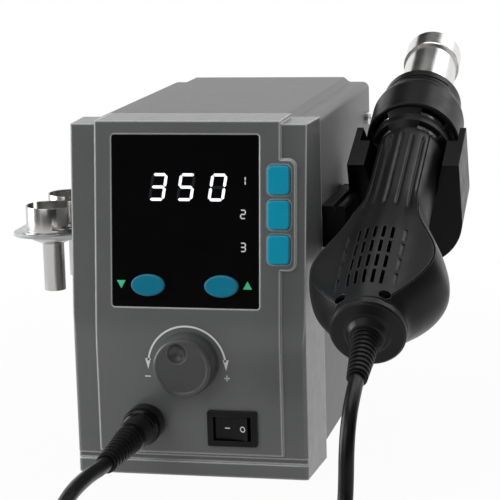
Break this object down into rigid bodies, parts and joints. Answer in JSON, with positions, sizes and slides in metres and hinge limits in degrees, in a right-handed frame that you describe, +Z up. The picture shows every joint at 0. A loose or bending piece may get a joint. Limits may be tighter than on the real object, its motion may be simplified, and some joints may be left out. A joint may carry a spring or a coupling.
{
  "type": "hot air rework station",
  "caption": "Bench hot air soldering station: sloping front with display, keys, knob and rocker switch, nozzle rack at the left, hot air handle on its cord in a cradle at the right",
  "frame": {"origin": "middle of the station's footprint on the table, at the level of the feet", "axes": "X to the right seen from the front, Y from the front panel to the rear, Z up"},
  "size_m": [0.1913, 0.3889, 0.1703],
  "materials": {
    "frame_plastic": "fine spark texture, mid grey",
    "window": "glossy black with printed marks",
    "cover_paint": "powder coat, grey",
    "zinc_steel": "zinc plated sheet",
    "rubber": "matt black",
    "bright_steel": "nickel plated",
    "board": "green circuit board",
    "black_plastic": "satin black",
    "knob_plastic": "satin dark grey",
    "key_plastic": "satin teal",
    "plug_plastic": "glossy black",
    "aluminium": "extruded",
    "rack_paint": "light grey coat on sheet steel",
    "polished_steel": "polished stainless steel",
    "holder_plastic": "satin black",
    "handle_plastic": "satin charcoal",
    "guard_plastic": "satin black, heat resistant",
    "mica": "mica sheet",
    "heater_wire": "resistance wire",
    "cord": "black silicone jacket"
  },
  "bodies": {
    "station": {"front_frame": "frame_plastic", "display_window": "window", "top_cover": "cover_paint", "base_pan": "zinc_steel", "rear_panel": "cover_paint", "feet": "rubber", "cover_screws": "bright_steel", "rear_screws": "bright_steel", "control_board": "board", "display_module": "black_plastic", "key_switches": "black_plastic", "encoder_body": "bright_steel", "switch_housing": "black_plastic", "panel_socket": "bright_steel", "plug_body": "plug_plastic", "plug_boot": "rubber", "power_board": "board", "power_parts": "black_plastic", "heat_sink": "aluminium", "mains_inlet": "black_plastic", "nozzle_rack": "rack_paint", "rack_screws": "bright_steel", "holder_arm": "holder_plastic", "holder_cradle": "holder_plastic", "holder_screws": "bright_steel", "cord_plug_run": "cord", "cord_coil": "cord", "cord_handle_run": "cord"},
    "dial": {"knob": "knob_plastic", "knob_shaft": "bright_steel"},
    "preset_1": {"preset_key_1": "key_plastic"},
    "preset_2": {"preset_key_2": "key_plastic"},
    "preset_3": {"preset_key_3": "key_plastic"},
    "down": {"down_key": "key_plastic"},
    "up": {"up_key": "key_plastic"},
    "power_rocker": {"rocker": "black_plastic"},
    "coupling_ring": {"plug_ring": "plug_plastic"},
    "large_nozzle": {"nozzle_large": "polished_steel"},
    "small_nozzle": {"nozzle_small": "polished_steel"},
    "handle": {"handle_upper_shell": "handle_plastic", "handle_lower_shell": "handle_plastic", "end_cap": "handle_plastic", "handle_boot": "rubber", "nose_guard": "guard_plastic", "guard_basket": "guard_plastic", "heater_tube": "polished_steel", "tube_collar": "polished_steel", "heater_core": "mica", "heater_coil": "heater_wire", "fan_frame": "black_plastic", "handle_screws": "bright_steel"},
    "fan_wheel": {"impeller": "black_plastic"}
  },
  "joints": [
    {"name": "knob_turn", "type": "hinge", "parent": "station", "child": "dial", "pos_m": [0, -0.0878, 0.0503], "axis": [0, -1, 0], "continuous": true},
    {"name": "preset_1_press", "type": "slide", "parent": "station", "child": "preset_1", "axis": [0, 0.9932, -0.1167], "range_m": [0, 0.0008], "stiffness_N_per_m": 300, "springref_m": -0.0005},
    {"name": "preset_2_press", "type": "slide", "parent": "station", "child": "preset_2", "axis": [0, 0.9932, -0.1167], "range_m": [0, 0.0008], "stiffness_N_per_m": 300, "springref_m": -0.0005},
    {"name": "preset_3_press", "type": "slide", "parent": "station", "child": "preset_3", "axis": [0, 0.9932, -0.1167], "range_m": [0, 0.0008], "stiffness_N_per_m": 300, "springref_m": -0.0005},
    {"name": "down_press", "type": "slide", "parent": "station", "child": "down", "axis": [0, 0.9932, -0.1167], "range_m": [0, 0.0008], "stiffness_N_per_m": 300, "springref_m": -0.0005},
    {"name": "up_press", "type": "slide", "parent": "station", "child": "up", "axis": [0, 0.9932, -0.1167], "range_m": [0, 0.0008], "stiffness_N_per_m": 300, "springref_m": -0.0005},
    {"name": "rocker_tilt", "type": "hinge", "parent": "station", "child": "power_rocker", "pos_m": [0.0183, -0.0858, 0.0227], "axis": [0, 0, 1], "range_deg": [0, 18]},
    {"name": "ring_turn", "type": "hinge", "parent": "station", "child": "coupling_ring", "pos_m": [-0.0185, -0.0939, 0.0245], "axis": [0, -1, 0], "range_deg": [0, 720]},
    {"name": "large_nozzle_lift", "type": "slide", "parent": "station", "child": "large_nozzle", "axis": [0, 0, 1], "range_m": [0, 0.03]},
    {"name": "small_nozzle_lift", "type": "slide", "parent": "station", "child": "small_nozzle", "axis": [0, 0, 1], "range_m": [0, 0.03]},
    {"name": "handle_lift", "type": "slide", "parent": "station", "child": "handle", "axis": [0, -0.3875, 0.9219], "range_m": [0, 0.03]},
    {"name": "fan_spin", "type": "hinge", "parent": "handle", "child": "fan_wheel", "pos_m": [0.0796, -0.08156, 0.08358], "axis": [-0.1461, -0.3834, 0.912], "continuous": true}
  ]
}
